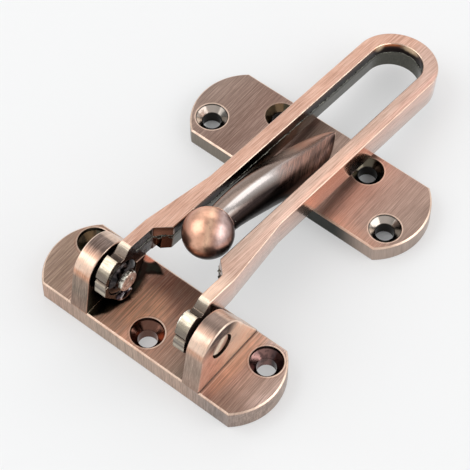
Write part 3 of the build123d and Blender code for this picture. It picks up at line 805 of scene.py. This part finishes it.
def peen(side):
    """Folds that the punch left in the head of a pin."""
    centre = Vector((side * PIN_END, PIVOT[1], PIVOT[2]))
    out = Vector((-side, 0, 0))
    verts, faces = [], []
    for angle, off, length, width in ((38, 0.1, 3.4, 0.34), (-52, 0.9, 1.9, 0.28), (80, -1.1, 1.7, 0.3)):
        a = math.radians(angle)
        way = Vector((0, math.cos(a), math.sin(a)))
        over_way = Vector((0, -math.sin(a), math.cos(a)))
        first = len(verts)
        rows = 9
        for i in range(rows):
            t = i / (rows - 1) * 2 - 1
            slim = math.sqrt(max(0.0, 1 - t * t)) * (0.7 + 0.3 * jitter(angle, i, 1.3))
            mid = centre + way * (t * length / 2) + over_way * (off + 0.15 * jitter(angle + 2, i, 0.9))
            w = width * max(slim, 0.05)
            verts += [mid - over_way * w - out * 0.05, mid + out * (0.16 * slim + 0.01),
                      mid + over_way * w - out * 0.05]
        for i in range(rows - 1):
            k = first + i * 3
            faces += [(k, k + 1, k + 4, k + 3), (k + 1, k + 2, k + 5, k + 4), (k + 2, k, k + 3, k + 5)]
        last = first + rows * 3 - 3
        faces += [(first, first + 2, first + 1), (last, last + 1, last + 2)]
    return new_piece(sided("peen_folds", side), verts, faces, pin_mat, "units")


def capped(name, rings, tip, flip, mat, body):
    """Rings of points joined into a smooth skin that closes at the tip."""
    count = len(rings[0])
    verts = [point for ring in rings for point in ring] + [tip]
    faces = []
    for row in range(len(rings) - 1):
        for i in range(count):
            a, b = row * count + i, row * count + (i + 1) % count
            faces.append((a, b, b + count, a + count))
    last = (len(rings) - 1) * count
    for i in range(count):
        faces.append((last + i, last + (i + 1) % count, len(verts) - 1))
    if flip:
        faces = [face[::-1] for face in faces]
    return new_piece(name, verts, faces, mat, body, smooth=True)


def lathe(name, side, profile, mat, body):
    """A turned end on the pivot's axis, from (x, radius) pairs. It ends on the axis."""
    turns = [2 * math.pi * i / 56 for i in range(56)]
    rings = [[Vector((side * x, PIVOT[1] + r * math.cos(t), PIVOT[2] + r * math.sin(t))) for t in turns]
             for x, r in profile[:-1]]
    tip = Vector((side * profile[-1][0], PIVOT[1], PIVOT[2]))
    return capped(name, rings, tip, side < 0, mat, body)


def bulge(side):
    """The lobe's rounded inner face."""
    turns = [2 * math.pi * i / 48 for i in range(48)]
    rows = 10
    rings = []
    for k in range(rows):
        slope = math.radians(90 * k / rows)
        x = side * (SLOT_WIDE + LOBE_SUNK - LOBE_RISE * math.sin(slope))
        half_y, half_z = LOBE_HALF[0] * math.cos(slope), LOBE_HALF[1] * math.cos(slope)
        spots = [(LOBE[0] + half_y * math.cos(t), LOBE[1] + half_z * math.sin(t)) for t in turns]
        rings.append([on_bar(x, y, z) for y, z in spots])
    tip = on_bar(side * (SLOT_WIDE + LOBE_SUNK - LOBE_RISE), *LOBE)
    return capped(sided("lobe_bulge", side), rings, tip, side > 0, bulge_mat, "bar")


def bulge_finish():
    """Glossy oxide, with a painted highlight round the shoulder of the lobe."""
    f = Finish("glossy_oxide")
    local = f.turn_x(f.v("SUBTRACT", f.p, PIVOT), TILT)
    _, y, z = f.split(local)
    mottle = f.noise(f.p, 0.5, 3, 0.6)
    base = f.mix(f.step(mottle, 0.35, 0.65), colour(26, 20, 26), colour(86, 74, 80))
    from_middle = f.m("SUBTRACT", y, LOBE[0])
    off = f.vec(0.0, f.m("DIVIDE", from_middle, LOBE_HALF[0]),
                f.m("DIVIDE", f.m("SUBTRACT", z, LOBE[1]), LOBE_HALF[1]))
    ring = f.m("ADD", f.v("LENGTH", off, out=1), f.m("MULTIPLY", f.m("SUBTRACT", mottle, 0.5), 0.25))
    # a painted highlight on the lobe's shoulder
    shoulder = f.both(f.line(ring, 0.72, 0.17), f.step(f.m("ABSOLUTE", from_middle), 0.5, 1.3))
    base = f.mix(f.m("MULTIPLY", shoulder, 0.9), base, colour(244, 238, 240))
    return f.finish(base, 0.08, [(mottle, 0.25)], None, f.blend(shoulder, 1.0, 0.4))


bulge_mat = bulge_finish()
for side in (1, -1):
    peen(side)
    bulge(side)
    lathe(sided("pin_end", side), side, PIN_DISC, pin_mat, "units")

# Floor, lamps and world
floor_mesh = bpy.data.meshes.new("floor")
corners = [(x * FLOOR_HALF, y * FLOOR_HALF, FLOOR_Z) for x, y in ((-1, -1), (1, -1), (1, 1), (-1, 1))]
floor_mesh.from_pydata(corners, [], [(0, 1, 2, 3)])
floor = bpy.data.objects.new("floor", floor_mesh)
bpy.context.scene.collection.objects.link(floor)
floor_mat = bpy.data.materials.new("pale_floor")
floor_mat.use_nodes = True
floor_tree = floor_mat.node_tree
floor_bsdf = floor_tree.nodes["Principled BSDF"]
floor_bsdf.inputs["Base Color"].default_value = (0.86, 0.865, 0.87, 1)
floor_bsdf.inputs["Roughness"].default_value = 0.7
floor_bsdf.inputs["Specular IOR Level"].default_value = 0.2
glow = floor_tree.nodes.new("ShaderNodeEmission")
glow.inputs["Color"].default_value = BACKDROP

# the camera and reflections see the floor lightened, but not under the strike, whose holes stay dark
seen = floor_tree.nodes.new("ShaderNodeLightPath")
seen_or_mirrored = floor_tree.nodes.new("ShaderNodeMath")
seen_or_mirrored.operation = "MAXIMUM"
object_place = floor_tree.nodes.new("ShaderNodeTexCoord")
from_strike = floor_tree.nodes.new("ShaderNodeVectorMath")
from_strike.operation = "SUBTRACT"
from_strike.inputs[1].default_value = (STRIKE_MIDDLE[0] / 1000, STRIKE_MIDDLE[1] / 1000, 0)
in_radii = floor_tree.nodes.new("ShaderNodeVectorMath")
in_radii.operation = "MULTIPLY"
in_radii.inputs[1].default_value = (27.8, 83.0, 0)
radii = floor_tree.nodes.new("ShaderNodeVectorMath")
radii.operation = "LENGTH"
outside = floor_tree.nodes.new("ShaderNodeMapRange")
outside.inputs["From Min"].default_value = 1.0
outside.inputs["From Max"].default_value = 1.05
lightened = floor_tree.nodes.new("ShaderNodeMath")
lightened.operation = "MULTIPLY"
share = floor_tree.nodes.new("ShaderNodeMath")
share.operation = "MULTIPLY"
share.inputs[1].default_value = 0.42
blend = floor_tree.nodes.new("ShaderNodeMixShader")
for a, b in (
        (seen.outputs["Is Camera Ray"], seen_or_mirrored.inputs[0]),
        (seen.outputs["Is Glossy Ray"], seen_or_mirrored.inputs[1]),
        (object_place.outputs["Object"], from_strike.inputs[0]),
        (from_strike.outputs[0], in_radii.inputs[0]),
        (in_radii.outputs[0], radii.inputs[0]),
        (radii.outputs["Value"], outside.inputs["Value"]),
        (seen_or_mirrored.outputs[0], lightened.inputs[0]),
        (outside.outputs[0], lightened.inputs[1]),
        (lightened.outputs[0], share.inputs[0]),
        (share.outputs[0], blend.inputs[0]),
        (floor_bsdf.outputs[0], blend.inputs[1]),
        (glow.outputs[0], blend.inputs[2]),
        (blend.outputs[0], floor_tree.nodes["Material Output"].inputs[0])):
    floor_tree.links.new(a, b)
floor_mesh.materials.append(floor_mat)


def softbox(name, direction, distance, size, power):
    """A rectangular lamp that faces the camera's aim."""
    lamp = bpy.data.lights.new(name, "AREA")
    lamp.shape = "RECTANGLE"
    lamp.size, lamp.size_y = size
    lamp.energy = power
    obj = bpy.data.objects.new(name, lamp)
    d = Vector(direction).normalized()
    obj.location = CAM_AIM + d * distance
    obj.rotation_mode = "QUATERNION"
    obj.rotation_quaternion = d.to_track_quat("Z", "Y")
    bpy.context.scene.collection.objects.link(obj)


softbox("softbox_left", (-0.56, -0.42, 0.71), 1.0, (0.95, 0.95), 4.5)
softbox("softbox_right", (0.78, 0.34, 0.52), 1.0, (0.95, 0.95), 4.5)
softbox("softbox_back", (-0.40, 0.70, 0.60), 1.2, (1.4, 0.7), 2.2)

# the camera sees the plain backdrop, and the light of the room fades from the horizon to overhead
world = bpy.data.worlds.new("studio")
bpy.context.scene.world = world
world.use_nodes = True
world_tree = world.node_tree
world_tree.nodes.clear()
world_out = world_tree.nodes.new("ShaderNodeOutputWorld")
shown = world_tree.nodes.new("ShaderNodeBackground")
shown.inputs["Color"].default_value = BACKDROP
room = world_tree.nodes.new("ShaderNodeBackground")
room.inputs["Strength"].default_value = 0.85
direction = world_tree.nodes.new("ShaderNodeTexCoord")
parts = world_tree.nodes.new("ShaderNodeSeparateXYZ")
ramp = world_tree.nodes.new("ShaderNodeValToRGB")
ramp.color_ramp.elements[0].color = (1, 1, 1, 1)
ramp.color_ramp.elements[1].color = (0.6, 0.6, 0.6, 1)
path = world_tree.nodes.new("ShaderNodeLightPath")
mixer = world_tree.nodes.new("ShaderNodeMixShader")
for a, b in (
        (direction.outputs["Generated"], parts.inputs[0]),
        (parts.outputs[2], ramp.inputs[0]),
        (ramp.outputs[0], room.inputs["Color"]),
        (path.outputs["Is Camera Ray"], mixer.inputs[0]),
        (room.outputs[0], mixer.inputs[1]),
        (shown.outputs[0], mixer.inputs[2]),
        (mixer.outputs[0], world_out.inputs[0])):
    world_tree.links.new(a, b)
bpy.context.scene.view_settings.view_transform = "Standard"
